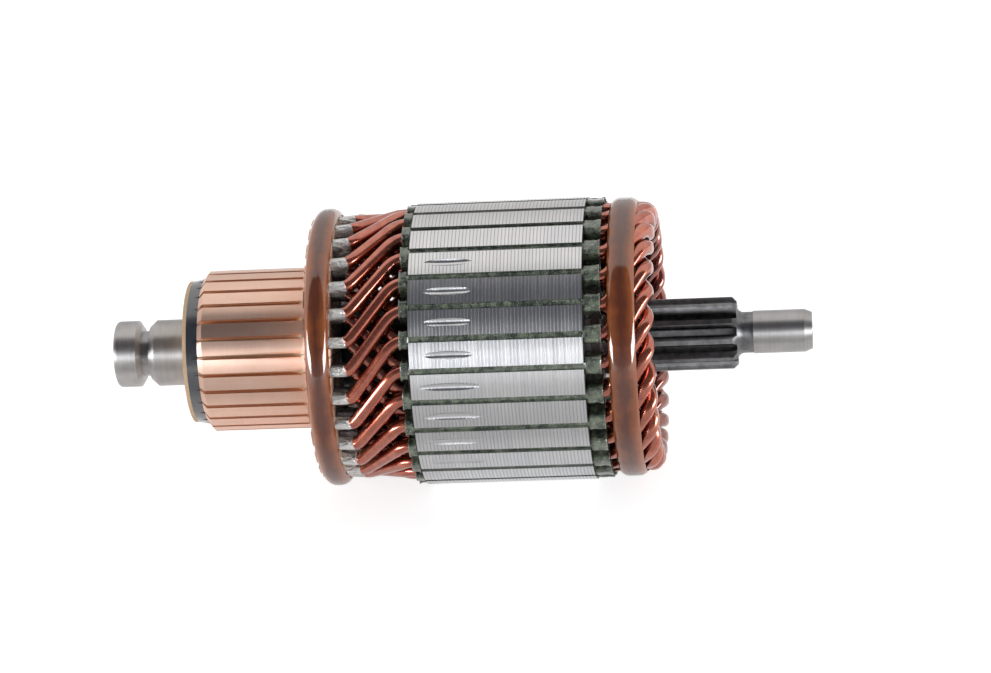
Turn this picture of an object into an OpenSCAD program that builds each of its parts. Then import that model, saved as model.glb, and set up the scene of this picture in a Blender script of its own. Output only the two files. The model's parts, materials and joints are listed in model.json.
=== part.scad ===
// Motor armature: a slotted laminated core with a hairpin wave winding, a moulded
// commutator with brazed risers, two binding bands, and a shaft that ends in a sun gear
// and a pilot. The axis lies along X, the commutator is on the -X side and the gear on
// the +X side, and the origin is on the axis at half the overall length. Millimetres.
//
// Every piece is drawn as a body along Z and laid along X by along_x().
// A place on the winding is given by its distance along the shaft (z), its angle round
// the shaft (a) and its radius (r).

/* [Shaft] */
// Diameter of the bearing journal on the commutator side
journal_d = 15.3; // [14:0.1:16]
// Length of the bearing journal
journal_l = 8.3; // [6:0.1:12]
// Length of the collar outboard of the retaining groove
collar_l = 5.2; // [3:0.1:6]
// Diameter at the floor of the retaining groove
groove_d = 10.4; // [9:0.1:11.5]
// Length of the floor of the retaining groove
groove_l = 1.9; // [1.2:0.1:3]
// Diameter of the seat under the commutator
comm_seat_d = 17; // [16.6:0.1:17.8]
// Diameter of the seat under the core
core_seat_d = 18; // [18:0.1:20]
// Diameter of the pilot at the gear end
pilot_d = 9.8; // [9:0.1:10.4]
// Length of the pilot
pilot_l = 13.4; // [10:0.1:20]
// Length of the relieved neck between the gear and the pilot
neck_l = 3.6; // [2:0.1:5]

/* [Sun gear] */
// Number of teeth
gear_teeth = 11; // [11:1:13]
// Module of the teeth
gear_module = 1.27; // [1.2:0.01:1.3]
// Length of the teeth
gear_l = 23; // [20:0.1:26]
// Length of the gear that stands clear of the winding
gear_out_l = 17.4; // [14:0.1:20]

/* [Core] */
// Diameter of the laminated core
core_d = 64.6; // [64:0.1:70]
// Length of the core
core_l = 39; // [30:0.5:60]
// Width of the slot mouth at the core's surface
slot_mouth_w = 1.4; // [1:0.1:2]
// Thickness of the tooth tips that close over the slot
lip_t = 0.6; // [0.4:0.05:1]

/* [Balancing] */
// Width of a milled balancing scoop
scoop_w = 1.9; // [1.2:0.1:2.4]
// Length of the scoops in the upper group
scoop_short_l = 10.8; // [8:0.1:14]
// Length of the scoops in the lower group
scoop_long_l = 13.6; // [8:0.1:16]
// Distance from the core's commutator-side face to the middle of the scoops
scoop_mid = 8.9; // [8.5:0.1:14]

/* [Winding] */
// Width of the conductor, round the shaft
wire_w = 2.8; // [2.2:0.05:2.8]
// Height of the conductor, away from the shaft
wire_h = 3.3; // [3:0.05:3.4]
// Bevel on the conductor's edges
wire_edge = 0.8; // [0.7:0.05:0.9]
// Width of the bared ends of the conductor in the risers
tip_w = 2.5; // [1.8:0.05:2.6]
// Gap between the outer and the inner conductor in a slot
layer_gap = 0.55; // [0.4:0.05:0.8]
// Thickness of the slot liner
liner_t = 0.3; // [0.3:0.05:0.4]
// How far the liners stand out on the commutator side
liner_lead_l = 2.1; // [1.5:0.1:3]
// How far the liners stand out on the gear side
liner_nose_l = 4; // [3:0.1:4.6]
// Length of the leads between the risers and the core
lead_l = 18.1; // [15:0.1:24]
// Length of the end turns beyond the core
nose_l = 15.6; // [15:0.1:22]
// Radius of the bends where the leads leave the risers
lead_bend_r = 1.8; // [1.5:0.1:2.4]
// Radius of the bends where the leads enter the liners
slot_bend_r = 5.5; // [5.3:0.1:7]
// Radius of the bend where the end turns leave the liners
turn_bend_r = 2.4; // [2:0.1:3]
// Radius of the bend at the tip of an end turn
nose_bend_r = 2.5; // [2:0.1:2.8]

/* [Commutator] */
// Diameter of the brush surface
brush_d = 37; // [36:0.1:42]
// Length of the copper in front of the risers
brush_l = 26.4; // [20:0.1:32]
// Length of the front chamfer on the copper
brush_chamfer = 1.3; // [0.8:0.1:2]
// Length of the risers along the shaft
riser_l = 5.7; // [5.4:0.1:9]
// How much lower the leads lie in the risers than in the core
riser_drop = 1.1; // [0.8:0.05:1.4]
// Radial thickness of the bars under the brush surface
bar_h = 4.4; // [3.8:0.1:5]
// Thickness of the mica between bars
mica_t = 0.45; // [0.3:0.05:0.6]
// Width of the undercut between bars
undercut_w = 0.9; // [0.7:0.05:1.2]
// Depth of the undercut between bars
undercut_h = 1.9; // [1.2:0.1:2.2]
// Radius at the inboard end of the undercut
undercut_r = 4; // [3:0.1:4.5]
// Length of the moulded nose in front of the copper
mould_l = 2.6; // [2:0.1:4]
// Diameter of the fibre washer in front of the moulding
washer_d = 32.6; // [24:0.2:33]
// Thickness of the fibre washer
washer_t = 0.9; // [0.6:0.1:1.5]
// Wall of the bush inside the moulding
bush_t = 1.6; // [1.2:0.1:2.4]

/* [Bands] */
// Length of the band over the risers
riser_band_l = 5.4; // [4.6:0.1:5.6]
// Length of the band over the end turns
nose_band_l = 6.1; // [5:0.1:6.4]
// Radial thickness of the band over the risers
riser_band_t = 1.65; // [1:0.05:2]
// Radial thickness of the band over the end turns
nose_band_t = 1; // [0.9:0.05:2]
// Rounding on the edges of the bands
band_round = 2.5; // [1.5:0.1:3]

/* [Hidden] */
// Slots, bars and hairpins: one of each for every pitch round the shaft
pitches = 28;
pitch = 360 / pitches;
// Slots that one hairpin spans for the motor's poles, bars that its two ends are apart in
// the wave winding, and pitches that each lead leans over
poles = 6;
coil_span = round(pitches / poles);
bar_span = round((pitches - 1) / (poles / 2));
lead_span = round((bar_span - coil_span) / 2);
// Clearance between pieces that slide together
fit = 0.08;
// Gap between the two leads in a riser, and between the layers at the end turns
riser_gap = 0.1;
nose_gap = 0.6;
// How much lower the outer layer lies under the band over the end turns
nose_drop = 0.45;
// Distance from the tip of an end turn at which it leaves its layer to cross to the other
crossing_l = 3.1;
// How far inside the ends of the liners the leads and the end turns begin to bend
lead_in_l = 1.4;
turn_in_l = 0.2;
// How far the bared ends run straight inboard of the risers before they bend
lead_out_l = 3.3;
// How far the ends of the leads stay inside the front faces of the risers
tip_inset = 0.3;

// Small edges and fillets of the shaft
collar_round = 1;
collar_bevel_l = 0.9;
collar_bevel_h = 1.4;
shoulder_l = 1.5;
shoulder_h = 1.35;
seat_bevel = 0.5;
neck_relief = 0.2;
neck_fillet = 1.5;
gear_bevel = 1;
pilot_bevel_l = 1.7;
pilot_bevel_h = 0.7;
centre_d = 4;
blank_gap = 2;
// How much the blank behind the teeth stands above them, how far they run into it, and
// how far the solid shaft lies below their roots
blank_margin = 0.15;
gear_lead_in = 1;
gear_core_depth = 0.5;
// Angle of the first tooth round the shaft
gear_turn = -2;
// Tooth form of the gear: pressure angle, profile shift, root clearance, points a flank
pressure_angle = 20;
profile_shift = 0.25;
root_clearance = 0.25;
flank_steps = 5;

// Commutator details
riser_fillet = 2.1;
riser_margin = 0.05;
mica_recess = 0.15;
riser_mica_recess = 0.4;
anchor_l = 2.5;
anchor_h = 1.5;
mould_front_h = 0.4;
mould_lip = 0.2;
mould_back_l = 0.8;
washer_fit = 0.1;
band_fit = 0.1;
// How far the band over the risers starts behind their front faces, and the one over the
// end turns beyond the liners
band_inset = 0.3;
band_gap = 1.4;

// Liner corners and the corners of the slots
liner_corner = 0.7;
// How much the ends of the liners spread outside the core
liner_spread = 0.25;
// Teeth that carry a balancing scoop, counted from the slot that faces -Y
short_scoops = [-5, -4, -3, -2];
long_scoops = [-1, 0, 1, 2];
// Radius of the rounded rim of the cutter that mills the scoops
scoop_rim_r = 1.3;

// Places along the shaft, from the commutator end
groove_total_l = collar_bevel_l + groove_l + shoulder_l;
comm_l = washer_t + mould_l + brush_l + riser_l;
total_l = collar_l + groove_total_l + journal_l + comm_l + lead_l + core_l + nose_l
    + gear_out_l + neck_l + pilot_l;
z_start = -total_l / 2;
z_groove = z_start + collar_l;
z_journal = z_groove + groove_total_l;
z_washer = z_journal + journal_l;
z_mould = z_washer + washer_t;
z_copper = z_mould + mould_l;
z_riser = z_copper + brush_l;
z_lead = z_riser + riser_l;
z_core = z_lead + lead_l;
z_core_end = z_core + core_l;
z_nose_end = z_core_end + nose_l;
z_gear_end = z_nose_end + gear_out_l;
z_gear = z_gear_end - gear_l;
z_pilot = z_gear_end + neck_l;
z_end = z_pilot + pilot_l;

// Radii of the core and of the conductors' centre lines
core_r = core_d / 2;
slot_r = core_r - lip_t;
liner_r = slot_r - fit;
outer_r = liner_r - liner_t - fit - wire_h / 2;
inner_r = outer_r - wire_h - layer_gap;
liner_floor_r = inner_r - wire_h / 2 - fit - liner_t;
slot_floor_r = liner_floor_r - fit;
slot_w = wire_w + 2 * (liner_t + 2 * fit);
liner_w = slot_w - 2 * fit;
// Centre lines in the end turns, and where the leads enter the risers
turn_outer_r = outer_r - nose_drop;
turn_inner_r = turn_outer_r - wire_h - nose_gap;
turn_mid_r = (turn_outer_r + turn_inner_r) / 2;
riser_outer_r = outer_r - riser_drop;
riser_inner_r = riser_outer_r - wire_h - riser_gap;

// Radii of the commutator
brush_r = brush_d / 2;
bar_in_r = brush_r - bar_h;
riser_r = riser_outer_r + wire_h / 2 + riser_margin;
riser_slot_floor_r = riser_inner_r - wire_h / 2 - fit;
riser_slot_w = tip_w + 2 * fit;
undercut_floor_r = brush_r - undercut_h;
front_r = undercut_floor_r + mould_lip;
z_undercut_end = z_riser - riser_fillet - sqrt(pow(undercut_r, 2) - pow(undercut_r - undercut_h, 2));
bush_r = comm_seat_d / 2 + bush_t;

// Radii of the bands
riser_band_r = riser_r + band_fit;
nose_band_r = turn_outer_r + wire_h / 2 + band_fit;
z_riser_band = z_riser + band_inset;
z_nose_band = z_core_end + liner_nose_l + band_gap;

// Gear circles
gear_pitch_r = gear_module * gear_teeth / 2;
gear_base_r = gear_pitch_r * cos(pressure_angle);
gear_r = gear_pitch_r + gear_module;
gear_root_r = gear_pitch_r - gear_module * (1 + root_clearance);
gear_core_r = gear_root_r - gear_core_depth;
blank_r = gear_r + blank_margin;

$fn = 96;
arc_steps = 6;
eps = 0.01;

function two_digits(i) = i < 10 ? str("0", i) : str(i);
function hairpin_name(i) = str("hairpin_", two_digits(i));

// ---------------------------------------------------------------- helpers

// Lays a body that was drawn along Z along X. Angle -90 then faces -Y and angle 0 faces down.
module along_x() rotate([0, 90, 0]) children();

// Repeats a shape at every slot and bar
module each_pitch() for (i = [0:pitches - 1]) rotate([0, 0, i * pitch]) children();

// Repeats a shape midway between slots and bars
module each_gap() rotate([0, 0, pitch / 2]) each_pitch() children();

// A ring between two radii and two places along the shaft
module ring(r_in, r_out, z0, z1) {
    rotate_extrude() translate([r_in, z0]) square([r_out - r_in, z1 - z0]);
}

// A plane sheet along the shaft, cut from a profile in radius and length
module sheet(thickness) {
    rotate([90, 0, 0]) translate([0, 0, -thickness / 2]) linear_extrude(thickness) children();
}

// A rectangle with rounded corners, from x0 to x1 and as wide as w
module rounded_box(x0, x1, w, corner) {
    translate([x0 + corner, -w / 2]) square([x1 - x0 - 2 * corner, w]);
    translate([x0, -w / 2 + corner]) square([x1 - x0, w - 2 * corner]);
    for (x = [x0 + corner, x1 - corner], y = [corner - w / 2, w / 2 - corner])
        translate([x, y]) circle(corner);
}

// Points of an arc in a profile, from angle a0 to angle a1
function arc(centre, r, a0, a1) = [for (i = [0:arc_steps])
    let (a = a0 + (a1 - a0) * i / arc_steps) centre + r * [cos(a), sin(a)]];

function unit(v) = v / norm(v);
function mid(p, q) = (p + q) / 2;

// ---------------------------------------------------------------- shaft and gear

// Involute of the base circle's angle at radius r, in degrees
function involute(r) = r <= gear_base_r ? 0
    : let (t = acos(gear_base_r / r)) tan(t) * 180 / PI - t;

// Half of a tooth's angle at radius r
function half_tooth(r) = 90 / gear_teeth
    + 2 * profile_shift * tan(pressure_angle) / gear_teeth * 180 / PI
    + involute(gear_pitch_r) - involute(r);

function flank(side) = [for (i = [0:flank_steps])
    let (r = gear_base_r + (gear_r - gear_base_r) * i / flank_steps)
    [r, side * half_tooth(r)]];

function tooth() = concat(
    [[gear_root_r, -half_tooth(gear_base_r)]],
    flank(-1),
    [for (i = [flank_steps:-1:0]) flank(1)[i]],
    [[gear_root_r, half_tooth(gear_base_r)]]
);

module gear_outline() {
    polygon([for (k = [0:gear_teeth - 1], p = tooth())
        let (a = p[1] + k * 360 / gear_teeth) p[0] * [cos(a), sin(a)]]);
}

// The turned form of the shaft, as a profile in radius and length
module shaft_profile() {
    collar_r = journal_d / 2;
    z_floor = z_groove + collar_bevel_l;
    z_shoulder = z_floor + groove_l;
    z_neck = z_gear_end + neck_fillet;
    neck_r = pilot_d / 2 - neck_relief;
    seat_r = core_seat_d / 2;
    z_seat_end = z_core_end + blank_gap;
    polygon(concat(
        [[0, z_start]],
        arc([collar_r - collar_round, z_start + collar_round], collar_round, -90, 0),
        [
            [collar_r, z_groove],
            [collar_r - collar_bevel_h, z_floor],
            [groove_d / 2, z_floor], [groove_d / 2, z_shoulder],
            [collar_r - shoulder_h, z_shoulder],
            [collar_r, z_journal],
            [collar_r, z_washer],
            [comm_seat_d / 2 - seat_bevel, z_washer],
            [comm_seat_d / 2, z_washer + seat_bevel],
            [comm_seat_d / 2, z_lead],
            [seat_r, z_lead + seat_bevel],
            [seat_r, z_seat_end],
            [blank_r, z_seat_end + seat_bevel],
            [blank_r, z_gear], [gear_core_r, z_gear],
            [gear_core_r, z_gear_end]
        ],
        arc([neck_r + neck_fillet, z_neck], neck_fillet, 270, 180),
        [
            [neck_r, z_pilot], [pilot_d / 2, z_pilot],
            [pilot_d / 2, z_end - pilot_bevel_l],
            [pilot_d / 2 - pilot_bevel_h, z_end],
            [0, z_end]
        ]
    ));
}

// The sun gear's teeth with a bevelled end
module gear_teeth_body() {
    z_root = z_gear - gear_lead_in;
    clear = 1;
    intersection() {
        translate([0, 0, z_root]) rotate([0, 0, gear_turn])
            linear_extrude(z_gear_end - z_root) gear_outline();
        rotate_extrude() polygon([
            [0, z_root - clear], [gear_r + clear, z_root - clear],
            [gear_r + clear, z_gear_end - gear_bevel - clear],
            [gear_r - gear_bevel - clear, z_gear_end + clear], [0, z_gear_end + clear]
        ]);
    }
}

// A 60 degree centre hole at one end of the shaft
module centre_hole(z, direction) {
    depth = centre_d / 2 / tan(30);
    translate([0, 0, z]) mirror([0, 0, direction > 0 ? 1 : 0])
        translate([0, 0, -eps]) cylinder(h = depth, r1 = centre_d / 2, r2 = 0);
}

module shaft() {
    color([0.62, 0.62, 0.63]) along_x() difference() {
        union() {
            rotate_extrude() shaft_profile();
            gear_teeth_body();
        }
        centre_hole(z_start, -1);
        centre_hole(z_end, 1);
    }
}

// ---------------------------------------------------------------- core

// A shallow lens cut by a disc cutter that runs along the shaft
module scoop(length) {
    // Depth that gives the scoop its width, and the cutter's radius that gives its length
    depth = scoop_rim_r - sqrt(pow(scoop_rim_r, 2) - pow(scoop_w / 2, 2));
    cutter_r = (pow(length / 2, 2) + pow(depth, 2)) / (2 * depth);
    translate([core_r - depth + cutter_r, 0, z_core + scoop_mid])
        rotate([90, 0, 0]) rotate_extrude()
            translate([cutter_r - scoop_rim_r, 0]) circle(scoop_rim_r);
}

module core_stack() {
    color([0.72, 0.73, 0.75]) along_x() difference() {
        translate([0, 0, z_core]) linear_extrude(core_l) difference() {
            circle(core_r);
            circle(core_seat_d / 2);
            each_pitch() {
                rounded_box(slot_floor_r, slot_r, slot_w, liner_corner);
                translate([slot_r - 1, -slot_mouth_w / 2]) square([lip_t + 2, slot_mouth_w]);
            }
        }
        for (k = short_scoops) rotate([0, 0, (k + 0.5) * pitch - 90]) scoop(scoop_short_l);
        for (k = long_scoops) rotate([0, 0, (k + 0.5) * pitch - 90]) scoop(scoop_long_l);
    }
}

// Section of a liner's wall, spread on all sides by some amount
module liner_wall(spread) {
    corner = liner_corner - fit + spread;
    difference() {
        rounded_box(liner_floor_r - spread, liner_r + spread, liner_w + 2 * spread, corner);
        rounded_box(liner_floor_r + liner_t - spread, liner_r - liner_t + spread,
            liner_w - 2 * liner_t + 2 * spread, corner - liner_t);
    }
}

// Folded liners, one in each slot, closed over both conductors, with ends that are spread
// so that they can't slip into the core
module slot_liners() {
    // Distance from the core to where the walls have spread
    bend_l = fit + liner_t;
    color([0.36, 0.44, 0.37]) along_x() each_pitch() {
        translate([0, 0, z_core - bend_l]) linear_extrude(core_l + 2 * bend_l) liner_wall(0);
        translate([0, 0, z_core - liner_lead_l])
            linear_extrude(liner_lead_l - fit) liner_wall(liner_spread);
        translate([0, 0, z_core_end + fit])
            linear_extrude(liner_nose_l - fit) liner_wall(liner_spread);
    }
}

// ---------------------------------------------------------------- winding

// Slope of a lead between its two bends, from the straight distance and the lean
function lead_slope(along, across) =
    let (bends = lead_bend_r + slot_bend_r, c = across - bends)
    atan2(c, along) + atan2(bends, sqrt(along * along + c * c - bends * bends));

// Centre line of a lead as [distance from the riser bend, lean], along both bends
function lead_curve(along, across) =
    let (s = lead_slope(along, across))
    concat(
        [for (t = [0, s / 2, s]) lead_bend_r * [sin(t), 1 - cos(t)]],
        [for (t = [s, s * 2 / 3, s / 3, 0]) [along, across] - slot_bend_r * [sin(t), 1 - cos(t)]]
    );

// Slope of an end turn between its two bends
function turn_slope(along, across) =
    let (c = across - turn_bend_r, d = along - nose_bend_r, e = turn_bend_r - nose_bend_r)
    atan2(c, d) + atan2(e, sqrt(c * c + d * d - e * e));

// Centre line of half an end turn as [distance from its first bend, lean, distance left to the tip]
function turn_curve(along, across) =
    let (
        s = turn_slope(along, across),
        bend_end = [turn_bend_r * sin(s), turn_bend_r * (1 - cos(s))],
        nose_start = [along - nose_bend_r * (1 - sin(s)), across - nose_bend_r * cos(s)],
        nose_arc = nose_bend_r * (90 - s) * PI / 180,
        back = [for (left = [crossing_l, (crossing_l + nose_arc) / 2])
            concat(nose_start - (left - nose_arc) * [cos(s), sin(s)], left)]
    )
    concat(
        [[0, 0, crossing_l], concat(bend_end, crossing_l)],
        back,
        [concat(nose_start, nose_arc)]
    );

// Radius of an end turn's centre line: it starts at start_r, reaches its layer's radius
// along the straight, and crosses to the other layer at the tip
function turn_r(left, layer, start_r, done) =
    turn_mid_r + layer * (turn_outer_r - turn_mid_r) * sin(90 * min(left / crossing_l, 1))
    + (start_r - (layer > 0 ? turn_outer_r : turn_inner_r)) * (1 - done);

function degrees_at(r, across) = across / r * 180 / PI;

// Stations [z, angle, radius, width] of half a hairpin, from the end in the riser to the end turn.
// layer is 1 for the outer conductor and -1 for the inner one, which leans the other way.
function half_hairpin(layer) =
    let (
        slot_a = layer * coil_span / 2 * pitch,
        riser_line_r = layer > 0 ? riser_outer_r : riser_inner_r,
        slot_line_r = layer > 0 ? outer_r : inner_r,
        lead_mid_r = mid(riser_line_r, slot_line_r),
        along = lead_l - lead_out_l - liner_lead_l + lead_in_l,
        across = lead_mid_r * lead_span * pitch * PI / 180,
        z_bend = z_lead + lead_out_l,
        bar_a = slot_a + layer * lead_span * pitch,
        z_turn = z_core_end + liner_nose_l - turn_in_l,
        turn_along = z_nose_end - wire_w / 2 - z_turn,
        turn_across = turn_mid_r * coil_span / 2 * pitch * PI / 180,
        turn_start_r = layer > 0 ? turn_outer_r : inner_r
    )
    concat(
        [[z_riser + tip_inset, bar_a, riser_line_r, tip_w]],
        [for (p = lead_curve(along, across))
            [z_bend + p[0], bar_a - layer * degrees_at(lead_mid_r, p[1]),
             riser_line_r + (slot_line_r - riser_line_r) * (p[0] + lead_out_l) / (along + lead_out_l),
             p[0] > 0 ? wire_w : tip_w]],
        [for (p = turn_curve(turn_along, turn_across))
            [z_turn + p[0], slot_a - layer * degrees_at(turn_mid_r, p[1]),
             turn_r(p[2], layer, turn_start_r, p[0] / turn_along), wire_w]]
    );

function reversed(list) = [for (i = [len(list) - 1:-1:0]) list[i]];

// The whole hairpin, with its tip at angle 0
function hairpin_stations() = concat(
    half_hairpin(1),
    [[z_nose_end - wire_w / 2, 0, turn_mid_r, wire_w]],
    reversed(half_hairpin(-1))
);

function point_of(s) = [s[2] * cos(s[1]), s[2] * sin(s[1]), s[0]];

// Bevelled section of the conductor, as [across, outward]
function wire_section() =
    let (x = wire_w / 2, y = wire_h / 2, e = wire_edge)
    [[x - e, -y], [x, e - y], [x, y - e], [x - e, y], [e - x, y], [-x, y - e], [-x, e - y], [e - x, -y]];

function direction(points, i) =
    let (
        before = i == 0 ? [0, 0, 0] : unit(points[i] - points[i - 1]),
        after = i == len(points) - 1 ? [0, 0, 0] : unit(points[i + 1] - points[i])
    )
    unit(before + after);

// The section set square to the path at one station, with its height away from the shaft
function section_at(points, stations, i) =
    let (
        along = direction(points, i),
        out = [cos(stations[i][1]), sin(stations[i][1]), 0],
        up = unit(out - (out * along) * along),
        side = cross(along, up)
    )
    [for (q = wire_section()) points[i] + q[0] * stations[i][3] / wire_w * side + q[1] * up];

// A solid conductor along the stations
module conductor(stations) {
    points = [for (s = stations) point_of(s)];
    sides = len(wire_section());
    last = len(stations) - 1;
    vertices = [for (i = [0:last], v = section_at(points, stations, i)) v];
    walls = [for (i = [0:last - 1], j = [0:sides - 1])
        let (a = i * sides + j, b = i * sides + (j + 1) % sides)
        each [[a, b, a + sides], [b, b + sides, a + sides]]];
    front = [for (j = [1:sides - 2]) [0, j + 1, j]];
    base = last * sides;
    back = [for (j = [1:sides - 2]) [base, base + j, base + j + 1]];
    polyhedron(vertices, concat(walls, front, back));
}

// Hairpin number i, with its outer leg in slot i
module hairpin(i) {
    color([0.50, 0.17, 0.10]) along_x()
        rotate([0, 0, (i - coil_span / 2) * pitch - 90]) conductor(hairpin_stations());
}

// ---------------------------------------------------------------- commutator

// Section of a bar with its riser, as radius and length
module bar_profile() {
    difference() {
        union() {
            translate([bar_in_r, z_copper]) square([bar_h, brush_l + riser_l]);
            translate([bar_in_r, z_riser]) square([riser_r - bar_in_r, riser_l]);
            translate([bar_in_r, z_riser - riser_fillet])
                square([bar_h + riser_fillet, riser_fillet + eps]);
        }
        translate([brush_r + riser_fillet, z_riser - riser_fillet]) circle(riser_fillet);
        polygon([
            [front_r, z_copper - eps], [brush_r + eps, z_copper + brush_chamfer + eps],
            [brush_r + eps, z_copper - eps]
        ]);
        // Ledges under which the moulding grips the bar
        translate([bar_in_r - eps, z_copper - eps]) square([anchor_h + eps, anchor_l + eps]);
        translate([bar_in_r - eps, z_lead - anchor_l]) square([anchor_h + eps, anchor_l + eps]);
    }
}

// Side view of the groove sawn between two bars, run out to the surface at its inboard end
module undercut_profile() {
    translate([undercut_floor_r, z_mould - eps])
        square([2 * undercut_h, z_undercut_end - z_mould + eps]);
    translate([undercut_floor_r + undercut_r, z_undercut_end]) circle(undercut_r);
}

module undercuts() each_gap() sheet(undercut_w) undercut_profile();

module commutator_bars() {
    color([0.85, 0.55, 0.42]) along_x() difference() {
        rotate_extrude() bar_profile();
        each_gap() translate([0, -mica_t / 2, z_copper - 1])
            cube([riser_r + 1, mica_t, brush_l + riser_l + 2]);
        each_pitch() translate([riser_slot_floor_r, -riser_slot_w / 2, z_riser - 1])
            cube([riser_r, riser_slot_w, riser_l + 2]);
        undercuts();
    }
}

module mica_separators() {
    color([0.55, 0.50, 0.40]) along_x() difference() {
        each_gap() sheet(mica_t) intersection() {
            bar_profile();
            union() {
                translate([0, z_copper]) square([brush_r - mica_recess, brush_l]);
                translate([0, z_riser]) square([riser_r - riser_mica_recess, riser_l]);
            }
        }
        undercuts();
    }
}

// Black moulding that holds the bars, with a conical nose in front of them
module commutator_hub() {
    color([0.13, 0.14, 0.15]) along_x() difference() {
        rotate_extrude() {
            translate([bush_r, z_mould]) square([bar_in_r - bush_r, z_lead + mould_back_l - z_mould]);
            polygon([
                [bush_r, z_mould], [front_r - mould_front_h, z_mould], [front_r, z_copper],
                [bush_r, z_copper]
            ]);
            translate([bush_r, z_copper - eps])
                square([bar_in_r + anchor_h - bush_r, anchor_l + eps]);
            translate([bush_r, z_lead - anchor_l])
                square([bar_in_r + anchor_h - bush_r, anchor_l + mould_back_l]);
        }
        undercuts();
    }
}

module commutator_bush() {
    color([0.70, 0.62, 0.35]) along_x()
        ring(comm_seat_d / 2, bush_r, z_mould, z_lead);
}

module thrust_washer() {
    color([0.80, 0.66, 0.52]) along_x()
        ring(comm_seat_d / 2 + washer_fit, washer_d / 2, z_washer, z_mould);
}

// ---------------------------------------------------------------- bands

// A binding band with rounded outer edges
module band(r_in, thickness, z0, length) {
    r_out = r_in + thickness;
    // Length along the shaft over which an edge rounds down to the inner face
    edge_l = sqrt(pow(band_round, 2) - pow(max(band_round - thickness, 0), 2));
    rotate_extrude() intersection() {
        translate([r_in, z0]) square([thickness, length]);
        union() {
            translate([0, z0 + edge_l]) square([r_out, length - 2 * edge_l]);
            for (z = [z0 + edge_l, z0 + length - edge_l])
                translate([r_out - band_round, z]) circle(band_round);
        }
    }
}

module commutator_end_band() {
    color([0.36, 0.20, 0.13]) along_x()
        band(riser_band_r, riser_band_t, z_riser_band, riser_band_l);
}

module drive_end_band() {
    color([0.40, 0.21, 0.13]) along_x()
        band(nose_band_r, nose_band_t, z_nose_band, nose_band_l);
}

// ---------------------------------------------------------------- assembly

shaft();
core_stack();
slot_liners();
commutator_bars();
mica_separators();
commutator_hub();
commutator_bush();
thrust_washer();
commutator_end_band();
drive_end_band();
for (i = [1:pitches])
    hairpin(i);
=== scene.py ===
# Looks for the motor armature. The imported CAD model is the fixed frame. The shaft lies
# along X, the commutator is on the -X side, and one core slot faces -Y. Metres.
import json
import math

import bpy
import numpy as np
from mathutils import Matrix, Vector


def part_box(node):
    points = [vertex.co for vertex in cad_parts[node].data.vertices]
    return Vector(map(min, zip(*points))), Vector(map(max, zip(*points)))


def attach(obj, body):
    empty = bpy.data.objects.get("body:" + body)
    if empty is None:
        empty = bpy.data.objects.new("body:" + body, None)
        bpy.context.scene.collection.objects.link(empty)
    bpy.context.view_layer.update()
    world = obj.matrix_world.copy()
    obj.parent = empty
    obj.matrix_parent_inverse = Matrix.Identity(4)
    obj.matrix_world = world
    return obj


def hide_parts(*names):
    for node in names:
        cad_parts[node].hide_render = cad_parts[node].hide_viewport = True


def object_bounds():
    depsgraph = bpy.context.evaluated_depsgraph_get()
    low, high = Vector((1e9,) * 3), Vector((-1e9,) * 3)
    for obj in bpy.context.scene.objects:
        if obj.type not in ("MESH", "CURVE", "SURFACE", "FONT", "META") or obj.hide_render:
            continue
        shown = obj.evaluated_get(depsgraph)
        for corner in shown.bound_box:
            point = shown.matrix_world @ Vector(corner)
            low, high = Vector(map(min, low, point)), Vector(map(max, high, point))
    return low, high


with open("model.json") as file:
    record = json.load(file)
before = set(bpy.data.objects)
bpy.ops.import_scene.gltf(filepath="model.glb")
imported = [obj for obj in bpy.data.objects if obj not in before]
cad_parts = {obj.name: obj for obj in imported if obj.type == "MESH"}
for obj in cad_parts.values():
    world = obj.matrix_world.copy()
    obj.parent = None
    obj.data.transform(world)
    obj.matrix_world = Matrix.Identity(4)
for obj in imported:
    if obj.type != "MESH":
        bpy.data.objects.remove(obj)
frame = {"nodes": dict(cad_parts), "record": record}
cad_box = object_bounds()
nodes = frame["nodes"]
MM = 0.001


# ---------------------------------------------------------------- node helpers

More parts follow.
